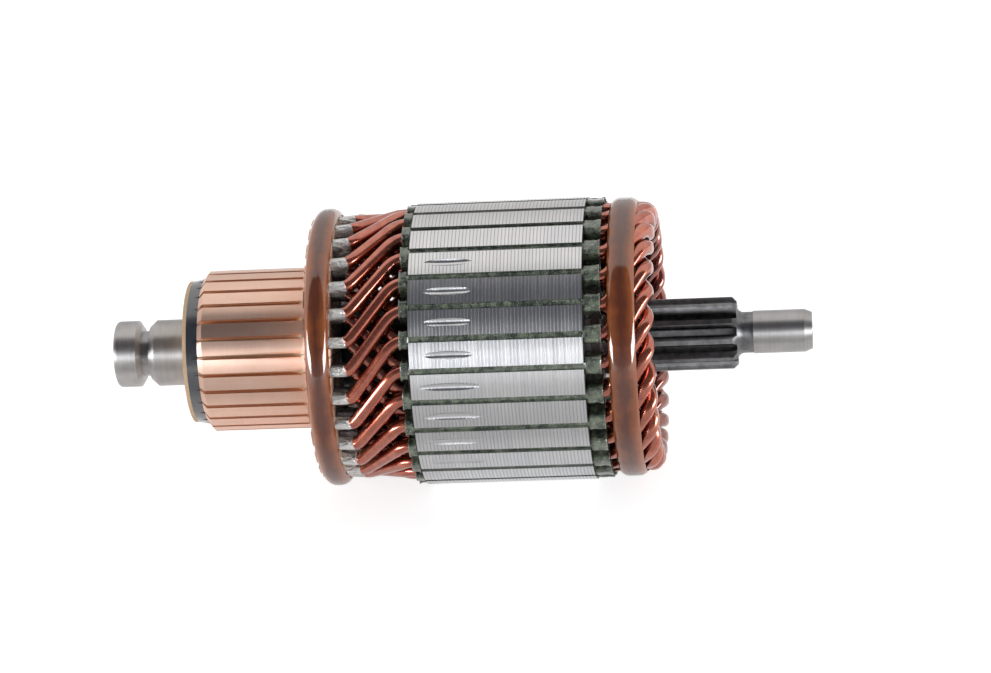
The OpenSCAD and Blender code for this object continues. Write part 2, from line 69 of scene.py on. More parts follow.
class Nodes:
    """A short way to write a material's or a world's node tree."""

    def __init__(self, tree):
        self.tree = tree
        self.tree.nodes.clear()

    def add(self, kind, inputs=None, **settings):
        node = self.tree.nodes.new(kind)
        for name, value in settings.items():
            setattr(node, name, value)
        for name, value in (inputs or {}).items():
            self.put(node.inputs[name], value)
        return node

    def put(self, socket, value):
        if isinstance(value, bpy.types.NodeSocket):
            self.tree.links.new(value, socket)
        elif isinstance(value, bpy.types.Node):
            self.tree.links.new(value.outputs[0], socket)
        elif socket.type == "RGBA" and len(value) == 3:
            socket.default_value = (*value, 1.0)
        else:
            socket.default_value = value

    def math(self, operation, a, b=0.0):
        node = self.add("ShaderNodeMath", operation=operation)
        self.put(node.inputs[0], a)
        self.put(node.inputs[1], b)
        return node.outputs[0]

    def mix(self, factor, a, b):
        node = self.add("ShaderNodeMix", data_type="RGBA")
        self.put(node.inputs[0], factor)
        self.put(node.inputs[6], a)
        self.put(node.inputs[7], b)
        return node.outputs[2]

    def ramp(self, factor, stops):
        node = self.add("ShaderNodeValToRGB")
        elements = node.color_ramp.elements
        elements.remove(elements[0])
        for i, (place, colour) in enumerate(stops):
            element = elements[0] if i == 0 else elements.new(place)
            element.position = place
            element.color = (*colour, 1.0)
        self.put(node.inputs[0], factor)
        return node.outputs[0]

    def remap(self, value, start, end, low=0.0, high=1.0):
        """Goes from low to high while the value goes from start to end, and stays within them."""
        node = self.add("ShaderNodeMapRange", clamp=True)
        for socket, number in zip(node.inputs, (value, start, end, low, high)):
            self.put(socket, number)
        return node.outputs[0]

    def noise(self, place, scale, detail=3.0, roughness=0.55, stretch=None):
        if stretch:
            place = self.add("ShaderNodeMapping", {"Vector": place, "Scale": stretch})
        return self.add("ShaderNodeTexNoise", {
            "Vector": place, "Scale": scale, "Detail": detail, "Roughness": roughness}).outputs[0]

    def bump(self, height, distance, strength):
        return self.add("ShaderNodeBump", {
            "Height": height, "Distance": distance, "Strength": strength}).outputs[0]


def new_material(name):
    material = bpy.data.materials.new(name)
    material.use_nodes = True
    return material, Nodes(material.node_tree)


def shade(n, inputs):
    """Ends a material with a Principled BSDF."""
    bsdf = n.add("ShaderNodeBsdfPrincipled", inputs)
    out = n.add("ShaderNodeOutputMaterial")
    n.tree.links.new(bsdf.outputs[0], out.inputs[0])


class Place:
    """Position in the row frame, in millimetres, with its X, radius and angle round the shaft."""

    def __init__(self, n):
        place = n.add("ShaderNodeTexCoord").outputs["Object"]
        scaled = n.add("ShaderNodeVectorMath", {"Scale": 1 / MM}, operation="SCALE")
        n.put(scaled.inputs[0], place)
        self.mm = scaled.outputs[0]
        self.x, y, z = n.add("ShaderNodeSeparateXYZ", {"Vector": self.mm}).outputs
        square = n.math("ADD", n.math("MULTIPLY", y, y), n.math("MULTIPLY", z, z))
        self.radius = n.math("SQRT", square)
        self.angle = n.math("ARCTAN2", z, y)


# ---------------------------------------------------------------- sizes
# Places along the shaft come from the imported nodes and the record's mounts, in millimetres.

def span(node):
    """Where a node starts and ends along the shaft, in millimetres."""
    low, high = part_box(node)
    return low[0] / MM, high[0] / MM


def radius_of(node):
    """A round node's outer radius, in millimetres."""
    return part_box(node)[1][2] / MM


def mount(name):
    """Where a mount's middle lies along the shaft, its radius and its length, in millimetres."""
    found = next(m for m in frame["record"]["mounts"] if m["name"] == name)
    return found["pos_m"][0] / MM, found["dims"]["r_mm"], found["dims"]["length_mm"]


Z_CORE, Z_CORE_END = span("core_stack")
Z_LINER, Z_LINER_END = span("slot_liners")
Z_COPPER, Z_LEAD = span("commutator_bars")
Z_TIP, Z_NOSE_END = span("hairpin_01")
Z_BAND, Z_BAND_END = span("commutator_end_band")
Z_NOSE_BAND, Z_NOSE_BAND_END = span("drive_end_band")
Z_GEAR, _, GEAR_L = mount("sun_gear")
NECK_L = 3.6
Z_NECK_END = Z_GEAR + GEAR_L / 2 + NECK_L
CORE_R = radius_of("core_stack")
_, BRUSH_R, _ = mount("brush_surface")
# Painted shade darkens the winding's inner layer below this radius
INNER_SHADE_R = 26.2
# Slots, bars and hairpins share one pitch
PITCHES = sum(name.startswith("hairpin_") for name in nodes)
PITCH = 2 * math.pi / PITCHES


# ---------------------------------------------------------------- materials

def between(n, x, start, end):
    """1 between two places along the shaft, 0 outside them."""
    soft = 0.1
    return n.math("MULTIPLY", n.remap(x, start - soft, start), n.remap(x, end + soft, end))


def pitch_number(n, angle):
    """A number that steps once a pitch round the shaft, within the mouths of the slots."""
    start = 10.0 + PITCH / 2
    return n.math("FLOOR", n.math("DIVIDE", n.math("ADD", angle, start), PITCH))


def along_shaft(n):
    """Inputs that blur reflections along the shaft, as fine turning lines do."""
    tangent = n.add("ShaderNodeTangent", direction_type="RADIAL", axis="X")
    return {"Anisotropic": 0.95, "Anisotropic Rotation": 0.25, "Tangent": tangent}


def steel_shaft():
    m, n = new_material("ground_steel")
    at = Place(n)
    lines = n.noise(at.mm, 1.0, 4.0, 0.65, (5.0, 0.08, 0.08))
    blotch = n.noise(at.mm, 0.22, 3.0)
    colour = n.mix(n.remap(blotch, 0.35, 0.7), (0.42, 0.41, 0.41), (0.54, 0.53, 0.53))
    colour = n.mix(n.math("MULTIPLY", n.remap(lines, 0.35, 0.65), 0.6), colour, (0.62, 0.61, 0.60))
    # The gear and the neck beyond it are darker: hardened and oiled
    clean_l = 2.0
    gear = between(n, at.x, Z_CORE_END + clean_l, Z_NECK_END)
    stain = n.noise(at.mm, 0.5, 4.0, 0.6)
    dark = n.mix(n.remap(stain, 0.35, 0.65), (0.19, 0.19, 0.195), (0.33, 0.33, 0.335))
    colour = n.mix(gear, colour, dark)
    # Painted shade: inside the winding the shaft is coloured near-black and not metallic, standing
    # in for the shade there
    behind_risers = between(n, at.x, Z_LEAD, Z_CORE)
    under_turns = between(n, at.x, Z_CORE_END, Z_NOSE_BAND)
    shade_inside_winding = n.math("MAXIMUM", behind_risers, under_turns)
    colour = n.mix(shade_inside_winding, colour, (0.028, 0.016, 0.014))
    inputs = {
        "Base Color": colour, "Metallic": n.math("SUBTRACT", 1.0, shade_inside_winding),
        "Roughness": n.remap(lines, 0.2, 0.8, 0.40, 0.54),
        "Normal": n.bump(lines, 0.012 * MM, 0.6),
    }
    inputs.update(along_shaft(n))
    shade(n, inputs)
    return m


def core_steel():
    m, n = new_material("laminated_steel")
    at = Place(n)
    # The sheets are counted from a place well in front of the core
    sheet_t = 0.8
    sheets = n.math("DIVIDE", n.math("ADD", at.x, 125 * sheet_t), sheet_t)
    index = n.math("FLOOR", sheets)
    inside = n.math("FRACT", sheets)
    seam_share = 0.16
    flat = n.math("MULTIPLY", n.remap(inside, 0.0, seam_share), n.remap(inside, 1.0, 1 - seam_share))
    # The milled scoops are smooth, so the sheets show only on the turned surface
    outside = n.remap(at.radius, CORE_R - 0.3, CORE_R - 0.05)
    # Each sheet's turned edge has its own tone, which also changes from tooth to tooth
    tooth = pitch_number(n, at.angle)
    seed = n.add("ShaderNodeCombineXYZ", {"X": index, "Y": tooth})
    random = n.add("ShaderNodeTexWhiteNoise", {"Vector": seed.outputs[0]}, noise_dimensions="3D")
    tone = random.outputs["Value"]
    burr = n.noise(at.mm, 1.0, 2.0, 0.5, (3.0, 1.2, 1.2))
    cloud = n.noise(at.mm, 0.12, 3.0)
    colour = n.mix(tone, (0.70, 0.70, 0.71), (0.77, 0.765, 0.76))
    colour = n.mix(n.math("MULTIPLY", n.remap(cloud, 0.4, 0.7), 0.35), colour, (0.60, 0.62, 0.66))
    # The seams between the sheets scatter the light
    seam = n.math("MULTIPLY", n.math("SUBTRACT", 1.0, flat), outside)
    colour = n.mix(n.math("MULTIPLY", seam, 0.45), colour, (0.40, 0.40, 0.41))
    # Painted shade: the end faces and the slots are coloured near-black and not metallic, standing
    # in for the shade between the liners and the winding
    face_l = 0.15
    painted_end_shade = n.math("SUBTRACT", 1.0, between(n, at.x, Z_CORE + face_l, Z_CORE_END - face_l))
    painted_end_shade = n.math("MAXIMUM", painted_end_shade, n.remap(at.radius, CORE_R - 1.2, CORE_R - 1.6))
    colour = n.mix(painted_end_shade, colour, (0.020, 0.014, 0.014))
    crown = n.math("SINE", n.math("MULTIPLY", inside, math.pi))
    height = n.math("ADD", crown, n.math("MULTIPLY", burr, 0.3))
    height = n.math("MULTIPLY", height, outside)
    roughness = n.remap(seam, 0.0, 1.0, 0.285, 0.80)
    roughness = n.math("ADD", roughness, n.math("MULTIPLY", tone, 0.04))
    inputs = {
        "Base Color": colour, "Metallic": n.math("SUBTRACT", 1.0, painted_end_shade),
        "Roughness": roughness, "Normal": n.bump(height, 0.05 * MM, 0.8),
    }
    inputs.update(along_shaft(n))
    shade(n, inputs)
    return m


def slot_paper():
    m, n = new_material("varnished_slot_paper")
    at = Place(n)
    fleck = n.noise(at.mm, 2.2, 4.0, 0.6)
    cloud = n.noise(at.mm, 0.6, 4.0, 0.6)
    crease = n.noise(at.mm, 1.3, 4.0, 0.6)
    colour = n.mix(n.remap(cloud, 0.40, 0.62), (0.022, 0.036, 0.022), (0.175, 0.21, 0.135))
    colour = n.mix(n.remap(fleck, 0.60, 0.72), colour, (0.50, 0.53, 0.47))
    # The cut rims are paler
    rim_l = 0.45
    lead_rim = n.remap(at.x, Z_LINER + rim_l, Z_LINER)
    nose_rim = n.remap(at.x, Z_LINER_END - rim_l, Z_LINER_END)
    rim = n.math("MAXIMUM", lead_rim, nose_rim)
    colour = n.mix(n.math("MULTIPLY", rim, n.remap(fleck, 0.4, 0.6)), colour, (0.42, 0.45, 0.38))
    shade(n, {
        "Base Color": colour, "Roughness": n.remap(fleck, 0.3, 0.7, 0.22, 0.5),
        "Coat Weight": 1.0, "Coat Roughness": 0.05, "Coat IOR": 1.7,
        "Normal": n.bump(crease, 0.6 * MM, 0.9),
    })
    return m


def commutator_copper():
    m, n = new_material("turned_copper")
    at = Place(n)
    # Fine turning lines run round the shaft
    lines = n.noise(at.mm, 1.0, 3.0, 0.65, (9.0, 0.05, 0.05))
    broad = n.noise(at.mm, 1.0, 2.0, 0.5, (1.2, 0.03, 0.03))
    blotch = n.noise(at.mm, 0.3, 3.0)
    colour = n.mix(n.remap(blotch, 0.3, 0.7), (0.94, 0.61, 0.47), (0.97, 0.68, 0.55))
    colour = n.mix(n.math("MULTIPLY", n.remap(lines, 0.35, 0.7), 0.6), colour, (0.98, 0.78, 0.66))
    # The tone shifts a little round the shaft
    number = pitch_number(n, at.angle)
    shift = n.add("ShaderNodeTexWhiteNoise", {"W": number}, noise_dimensions="1D").outputs["Value"]
    colour = n.mix(n.math("MULTIPLY", shift, 0.25), colour, (0.78, 0.46, 0.34))
    # The sawn walls of the grooves are duller, between the chamfer and the fillet of the risers
    z_fillet = Z_BAND - 2.5
    brush = n.remap(at.x, z_fillet + 0.1, z_fillet - 0.1)
    wall = n.math("MULTIPLY", n.remap(at.radius, BRUSH_R - 0.12, BRUSH_R - 0.3), brush)
    wall = n.math("MULTIPLY", wall, n.remap(at.x, Z_COPPER + 1.2, Z_COPPER + 1.6))
    colour = n.mix(wall, colour, (0.80, 0.43, 0.24))
    rough = n.math("ADD", n.remap(lines, 0.25, 0.75, 0.40, 0.50), n.math("MULTIPLY", wall, 0.4))
    height = n.math("ADD", lines, n.math("MULTIPLY", broad, 2.0))
    inputs = {
        "Base Color": colour, "Metallic": n.remap(wall, 0.0, 1.0, 1.0, 0.3), "Roughness": rough,
        "Normal": n.bump(height, 0.008 * MM, 0.6),
    }
    inputs.update(along_shaft(n))
    shade(n, inputs)
    return m


def mica():
    m, n = new_material("mica")
    at = Place(n)
    grain = n.noise(at.mm, 3.0, 4.0)
    colour = n.mix(grain, (0.36, 0.25, 0.15), (0.58, 0.44, 0.29))
    shade(n, {"Base Color": colour, "Roughness": 0.55, "Normal": n.bump(grain, 0.05 * MM, 0.5)})
    return m


def black_moulding():
    m, n = new_material("black_moulding")
    at = Place(n)
    grain = n.noise(at.mm, 2.0, 4.0)
    colour = n.mix(grain, (0.016, 0.020, 0.028), (0.034, 0.040, 0.050))
    shade(n, {
        "Base Color": colour, "Roughness": n.remap(grain, 0.3, 0.7, 0.14, 0.28),
        "Specular IOR Level": 0.8, "Coat Weight": 1.0, "Coat Roughness": 0.2, "Coat IOR": 1.7,
        "Normal": n.bump(grain, 0.02 * MM, 0.4),
    })
    return m


def bush_brass():
    m, n = new_material("bush_brass")
    at = Place(n)
    lines = n.noise(at.mm, 1.0, 3.0, 0.6, (9.0, 0.2, 0.2))
    colour = n.mix(lines, (0.55, 0.42, 0.20), (0.70, 0.56, 0.30))
    shade(n, {"Base Color": colour, "Metallic": 1.0, "Roughness": 0.35,
              "Normal": n.bump(lines, 0.01 * MM, 0.5)})
    return m


def fibre():
    m, n = new_material("fibre")
    at = Place(n)
    grain = n.noise(at.mm, 1.6, 5.0, 0.6)
    colour = n.mix(grain, (0.62, 0.40, 0.23), (0.84, 0.62, 0.42))
    shade(n, {"Base Color": colour, "Roughness": 0.6, "Normal": n.bump(grain, 0.06 * MM, 0.5)})
    return m


def binding_resin(name, start, end):
    """Resin that glows orange where it is thin, towards the edges of a band."""
    m, n = new_material(name)
    at = Place(n)
    strands = n.noise(at.mm, 1.0, 3.0, 0.6, (3.5, 0.06, 0.06))
    cloud = n.noise(at.mm, 0.16, 4.0, 0.6)
    middle, half = (start + end) / 2, (end - start) / 2
    off = n.math("DIVIDE", n.math("ABSOLUTE", n.math("SUBTRACT", at.x, middle)), half)
    off = n.math("ADD", off, n.math("MULTIPLY", n.math("SUBTRACT", cloud, 0.5), 1.3))
    colour = n.mix(n.remap(off, 0.15, 0.85), (0.085, 0.015, 0.006), (0.29, 0.072, 0.013))
    colour = n.mix(n.math("MULTIPLY", strands, 0.18), colour, (0.42, 0.14, 0.04))
    wave = n.noise(at.mm, 0.35, 2.0, 0.4)
    shade(n, {
        "Base Color": colour, "Roughness": 0.45, "Specular IOR Level": 0.1,
        "Coat Weight": 1.0, "Coat Roughness": 0.045, "Coat IOR": 1.8,
        "Normal": n.bump(n.math("ADD", strands, n.math("MULTIPLY", wave, 5.0)), 0.025 * MM, 0.5),
    })
    return m


def enamelled_copper():
    m, n = new_material("enamelled_copper")
    at = Place(n)
    streak = n.noise(at.mm, 0.45, 3.0)
    fine = n.noise(at.mm, 1.6, 3.0)
    colour = n.mix(n.remap(streak, 0.3, 0.7), (0.39, 0.070, 0.034), (0.58, 0.15, 0.072))
    # Painted shade: the inner layer is coloured darker, standing in for the shade under the outer
    # layer
    inner_layer_shade = n.remap(at.radius, 27.4, INNER_SHADE_R)
    colour = n.mix(n.math("MULTIPLY", inner_layer_shade, 0.72), colour, (0.16, 0.030, 0.020))
    shade(n, {
        "Base Color": colour, "Metallic": 0.88,
        "Roughness": n.remap(fine, 0.3, 0.7, 0.20, 0.30),
        "Coat Weight": 1.0, "Coat Roughness": 0.07, "Coat IOR": 1.8,
        "Normal": n.bump(fine, 0.03 * MM, 0.3),
    })
    return m


def tinned_copper():
    m, n = new_material("tinned_copper")
    at = Place(n)
    grain = n.noise(at.mm, 1.0, 3.0, 0.5, (0.7, 1.3, 1.3))
    colour = n.mix(n.remap(grain, 0.35, 0.65), (0.80, 0.80, 0.76), (0.95, 0.95, 0.93))
    # Painted shade: the tips of the inner layer are coloured near-black, standing in for the shade
    # under the outer layer
    inner_layer_shade = n.remap(at.radius, 27.0, INNER_SHADE_R)
    colour = n.mix(n.math("MULTIPLY", inner_layer_shade, 0.85), colour, (0.05, 0.06, 0.07))
    shade(n, {
        "Base Color": colour, "Metallic": 0.65,
        "Roughness": n.remap(grain, 0.3, 0.7, 0.12, 0.24), "Coat Weight": 0.5,
        "Normal": n.bump(grain, 0.9 * MM, 1.0),
    })
    return m


enamel = enamelled_copper()
tinned = tinned_copper()
looks = {
    "shaft": steel_shaft(),
    "core_stack": core_steel(),
    "slot_liners": slot_paper(),
    "commutator_bars": commutator_copper(),
    "mica_separators": mica(),
    "commutator_hub": black_moulding(),
    "commutator_bush": bush_brass(),
    "thrust_washer": fibre(),
    "commutator_end_band": binding_resin("commutator_end_resin", Z_BAND, Z_BAND_END),
    "drive_end_band": binding_resin("drive_end_resin", Z_NOSE_BAND, Z_NOSE_BAND_END),
}
for name, material in looks.items():
    mesh = nodes[name].data
    mesh.materials.clear()
    mesh.materials.append(material)


# ---------------------------------------------------------------- meshes

def rounded_section(half_w, half_h, corner, steps=4):
    """Rounded rectangle as (across, outward)."""
    out = []
    for sx, sy, start in ((1, -1, -90), (1, 1, 0), (-1, 1, 90), (-1, -1, 180)):
        for i in range(steps + 1):
            t = math.radians(start + 90 * i / steps)
            out.append((sx * (half_w - corner) + corner * math.cos(t),
                        sy * (half_h - corner) + corner * math.sin(t)))
    return np.array(out)


def laid_along_x(points, turn):
    """Points of a body along Z, turned round the shaft and laid along X, in metres."""
    c, s = math.cos(turn), math.sin(turn)
    x = points[:, 0] * c - points[:, 1] * s
    y = points[:, 0] * s + points[:, 1] * c
    return np.stack([points[:, 2], y, -x], axis=1) * MM


def ring_faces(count, sides, first=0):
    """Quads between successive rings of points."""
    faces = []
    for i in range(count - 1):
        for j in range(sides):
            a = first + i * sides + j
            b = first + i * sides + (j + 1) % sides
            faces.append((a, b, b + sides, a + sides))
    return faces


def add_piece(name, verts, faces, materials, node, index_of=None):
    """A smooth mesh that stands for a CAD node."""
    mesh = bpy.data.meshes.new(name)
    mesh.from_pydata([tuple(v) for v in verts], [], faces)
    for material in materials:
        mesh.materials.append(material)
    for polygon in mesh.polygons:
        polygon.use_smooth = len(polygon.vertices) == 4
        if index_of:
            polygon.material_index = index_of(polygon.index)
    mesh.update()
    piece = bpy.data.objects.new(name, mesh)
    bpy.context.scene.collection.objects.link(piece)
    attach(piece, "root")
    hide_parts(node)
    return piece


# ---------------------------------------------------------------- winding
# The conductors follow the same path as the CAD solids, on smooth arcs, and the liners have
# the same walls. Millimetres.

POLES = 6
COIL_SPAN = round(PITCHES / POLES)
BAR_SPAN = round((PITCHES - 1) / (POLES / 2))
LEAD_SPAN = round((BAR_SPAN - COIL_SPAN) / 2)
WIRE_W, WIRE_H, WIRE_EDGE = 2.8, 3.3, 1.25
BARE_W, BARE_H = 2.5, 3.1
LEAD_BEND_R, SLOT_BEND_R, TURN_BEND_R, NOSE_BEND_R = 1.8, 5.5, 2.4, 2.5
LEAD_OUT_L, LEAD_IN_L, TURN_IN_L, CROSSING_L = 3.3, 1.4, 0.2, 3.1

# Gaps between the two layers in the slots, the end turns and the risers, and how far the
# outer layer drops in the last two
LAYER_GAP, NOSE_GAP, RISER_GAP = 0.55, 0.6, 0.1
NOSE_DROP, RISER_DROP = 0.45, 1.1
FIT = 0.08
LINER_T = 0.3
LINER_SPREAD = 0.25

# Radii from the liners' outer walls inwards. The wires' are those of their centre lines.
LINER_R = radius_of("slot_liners") - LINER_SPREAD
OUTER_R = LINER_R - LINER_T - FIT - WIRE_H / 2
INNER_R = OUTER_R - WIRE_H - LAYER_GAP
LINER_FLOOR_R = INNER_R - WIRE_H / 2 - FIT - LINER_T
LINER_W = WIRE_W + 2 * (LINER_T + FIT)
TURN_OUTER_R = OUTER_R - NOSE_DROP
TURN_INNER_R = TURN_OUTER_R - WIRE_H - NOSE_GAP
TURN_MID_R = (TURN_OUTER_R + TURN_INNER_R) / 2
RISER_OUTER_R = OUTER_R - RISER_DROP
RISER_INNER_R = RISER_OUTER_R - WIRE_H - RISER_GAP

# How far beyond the risers the enamel starts, the length of its edge, and the steps of a path
BARE_L = 3.7
ENAMEL_EDGE_L = 0.06
STEP = 0.5


def lead_curve(along, across):
    """Centre line of a lead as (distance from the riser bend, lean)."""
    bends = LEAD_BEND_R + SLOT_BEND_R
    c = across - bends
    slope = math.atan2(c, along) + math.atan2(bends, math.sqrt(along ** 2 + c ** 2 - bends ** 2))
    turns = np.linspace(0, slope, 12)
    first = [(LEAD_BEND_R * math.sin(t), LEAD_BEND_R * (1 - math.cos(t))) for t in turns]
    last = [(along - SLOT_BEND_R * math.sin(t), across - SLOT_BEND_R * (1 - math.cos(t)))
            for t in turns[::-1]]
    return first + last


def turn_curve(along, across):
    """Centre line of half an end turn as (distance from its first bend, lean, distance left)."""
    c, d, e = across - TURN_BEND_R, along - NOSE_BEND_R, TURN_BEND_R - NOSE_BEND_R
    slope = math.atan2(c, d) + math.atan2(e, math.sqrt(c * c + d * d - e * e))
    first = [np.array([TURN_BEND_R * math.sin(t), TURN_BEND_R * (1 - math.cos(t))])
             for t in np.linspace(0, slope, 12)]
    quarter = math.pi / 2
    nose = [(along - NOSE_BEND_R * (1 - math.sin(t)), across - NOSE_BEND_R * math.cos(t),
             NOSE_BEND_R * (quarter - t)) for t in np.linspace(slope, quarter, 12)]
    start, end, left = first[-1], np.array(nose[0][:2]), nose[0][2]
    length = np.linalg.norm(end - start)
    curve = [(p[0], p[1], left + length) for p in first]
    for t in np.linspace(0, 1, int(length / STEP) + 2)[1:-1]:
        p = start + (end - start) * t
        curve.append((p[0], p[1], left + length * (1 - t)))
    return curve + nose


def half_hairpin(layer):
    """Points (z, angle, radius) from the riser to the tip of the end turn."""
    outer = layer > 0
    slot_a = layer * COIL_SPAN / 2 * PITCH
    bar_a = slot_a + layer * LEAD_SPAN * PITCH
    riser_r = RISER_OUTER_R if outer else RISER_INNER_R
    slot_r = OUTER_R if outer else INNER_R
    mid_r = (riser_r + slot_r) / 2
    z_bend = Z_LEAD + LEAD_OUT_L
    along = Z_LINER + LEAD_IN_L - z_bend
    across = mid_r * LEAD_SPAN * PITCH
    path = [(z, bar_a, riser_r) for z in np.linspace(Z_TIP, Z_LEAD, 8)]
    for p, q in lead_curve(along, across):
        rise = (slot_r - riser_r) * (p + LEAD_OUT_L) / (along + LEAD_OUT_L)
        path.append((z_bend + p, bar_a - layer * q / mid_r, riser_r + rise))
    z_turn = Z_LINER_END - TURN_IN_L
    turn_along = Z_NOSE_END - WIRE_W / 2 - z_turn
    turn_across = TURN_MID_R * COIL_SPAN / 2 * PITCH
    line_r = TURN_OUTER_R if outer else TURN_INNER_R
    start_r = TURN_OUTER_R if outer else INNER_R
    for z in np.linspace(z_bend + along, z_turn, 30)[1:-1]:
        # The wire keeps the slot's radius in the core and drops to the end turn's beyond it
        drop = min(max((z - Z_CORE_END) / (z_turn - Z_CORE_END), 0), 1)
        path.append((z, slot_a, slot_r + (start_r - slot_r) * drop))
    for p, q, left in turn_curve(turn_along, turn_across):
        swing = math.sin(math.pi / 2 * min(left / CROSSING_L, 1))
        r = TURN_MID_R + layer * (TURN_OUTER_R - TURN_MID_R) * swing
        r += (start_r - line_r) * (1 - p / turn_along)
        path.append((z_turn + p, slot_a - layer * q / TURN_MID_R, r))
    return path


def even_path(path):
    """The path as points at about even steps, smoothed a little."""
    points = np.array([(r * math.cos(a), r * math.sin(a), z) for z, a, r in path])
    steps = np.linalg.norm(np.diff(points, axis=0), axis=1)
    points = points[np.concatenate([[True], steps > 1e-6])]
    steps = np.linalg.norm(np.diff(points, axis=0), axis=1)
    lengths = np.concatenate([[0], np.cumsum(steps)])
    even = np.linspace(0, lengths[-1], int(lengths[-1] / STEP))
    out = np.stack([np.interp(even, lengths, points[:, k]) for k in range(3)], axis=1)
    for _ in range(3):
        out[1:-1] = (out[:-2] + 2 * out[1:-1] + out[2:]) / 4
    return out


def with_enamel_edges(points):
    """Adds two close points where the enamel starts. Returns the points and which are bare."""
    z_edge = Z_LEAD + BARE_L
    far = np.abs(points[:, 2] - z_edge) > 2 * ENAMEL_EDGE_L
    points = points[far]
    out = [points[0]]
    for before, after in zip(points, points[1:]):
        if (before[2] - z_edge) * (after[2] - z_edge) < 0:
            place = before + (after - before) * (z_edge - before[2]) / (after[2] - before[2])
            half = (after - before) / np.linalg.norm(after - before) * ENAMEL_EDGE_L / 2
            out += [place - half, place + half]
        out.append(after)
    out = np.array(out)
    return out, out[:, 2] < z_edge


def sweep(points, sections):
    """The sections set square to the path, with their height away from the shaft."""
    rings = []
    last = len(points) - 1
    for i, (p, section) in enumerate(zip(points, sections)):
        along = points[min(i + 1, last)] - points[max(i - 1, 0)]
        along = along / np.linalg.norm(along)
        out = np.array([p[0], p[1], 0.0])
        out = out / np.linalg.norm(out)
        up = out - out.dot(along) * along
        up = up / np.linalg.norm(up)
        side = np.cross(along, up)
        rings.append([p + q[0] * side + q[1] * up for q in section])
    return np.array(rings)


def add_wires():
    tip = (Z_NOSE_END - WIRE_W / 2, 0.0, TURN_MID_R)
    path = even_path(half_hairpin(1) + [tip] + half_hairpin(-1)[::-1])
    path, bare = with_enamel_edges(path)
    full = rounded_section(WIRE_W / 2, WIRE_H / 2, WIRE_EDGE)
    thin = rounded_section(BARE_W / 2, BARE_H / 2, WIRE_EDGE * BARE_W / WIRE_W)
    rings = sweep(path, [thin if b else full for b in bare])
    count, sides = rings.shape[:2]
    points = rings.reshape(-1, 3)
    faces = ring_faces(count, sides)
    last = (count - 1) * sides
    faces.append(tuple(range(sides - 1, -1, -1)))
    faces.append(tuple(last + j for j in range(sides)))

    def index_of(face):
        ring = face // sides
        return int(ring >= count - 1 or (bare[ring] and bare[ring + 1]))

    for i in range(1, PITCHES + 1):
        turn = (i - COIL_SPAN / 2) * PITCH - math.pi / 2
        add_piece(f"wire_{i:02d}", laid_along_x(points, turn), faces, [enamel, tinned],
                  f"hairpin_{i:02d}", index_of)


# ---------------------------------------------------------------- slot liners
# The same sleeves as the CAD solids, with the crumpled and bulged ends of varnished paper.

LINER_CORNER = 0.62
LINER_CROWN = 0.16
# Places along each end as a share of its length, and the share of the spread reached there
LINER_ENDS = [(0.0, 1.35), (0.05, 1.5), (0.2, 1.15), (0.4, 0.9), (0.62, 0.95), (0.82, 1.05),
              (0.94, 0.9), (0.99, 0.3)]


def liner_walls(random):
    """The outer and the inner wall of one sleeve as rings of points."""
    mid_r, half_h = (LINER_R + LINER_FLOOR_R) / 2, (LINER_R - LINER_FLOOR_R) / 2
    lead, nose = Z_CORE - Z_LINER, Z_LINER_END - Z_CORE_END
    places = [(Z_LINER + lead * a, b) for a, b in LINER_ENDS]
    places += [(Z_CORE + 0.3, 0.0), (Z_CORE_END - 0.3, 0.0)]
    places += [(Z_LINER_END - nose * a, b) for a, b in reversed(LINER_ENDS)]
    swell = 1 + random.uniform(-0.25, 0.25, len(places))
    shift = random.uniform(-0.07, 0.07, (len(places), 2))
    short = random.uniform(0, 0.25, 2)
    along = np.array([z for z, _ in places])
    along[0] += short[0]
    along[-1] -= short[1]
    walls = []
    for thickness in (0.0, LINER_T):
        rings = []
        for i, (_, share) in enumerate(places):
            spread = LINER_SPREAD * share * swell[i] - thickness
            half_w = LINER_W / 2 + spread
            corner = max(LINER_CORNER + spread, 0.25)
            section = rounded_section(half_w, half_h + spread, corner, 5)
            section = section + shift[i] * min(share, 1)
            # The outer wall bulges most at its middle
            crown = LINER_CROWN * min(share, 1) * (1 - (section[:, 0] / half_w) ** 2)
            outward = section[:, 1] + np.where(section[:, 1] > 0, crown, 0)
            ring = [mid_r + outward, section[:, 0], np.full(len(section), along[i])]
            rings.append(np.stack(ring, axis=1))
        walls.append(np.array(rings))
    return walls


def add_liners():
    random = np.random.default_rng(11)
    verts, faces = [], []
    for k in range(PITCHES):
        outer, inner = liner_walls(random)
        # Out along the outer wall, round the rim, back along the inner one and round again
        loop = np.concatenate([outer, inner[::-1]])
        count, sides = loop.shape[:2]
        first = len(verts)
        verts += list(laid_along_x(loop.reshape(-1, 3), k * PITCH - math.pi / 2))
        for quad in ring_faces(count + 1, sides, first):
            faces.append(tuple(first + (v - first) % (count * sides) for v in quad))
    add_piece("slot_papers", verts, faces, [looks["slot_liners"]], "slot_liners")


add_wires()
add_liners()


# ---------------------------------------------------------------- stage, light and camera

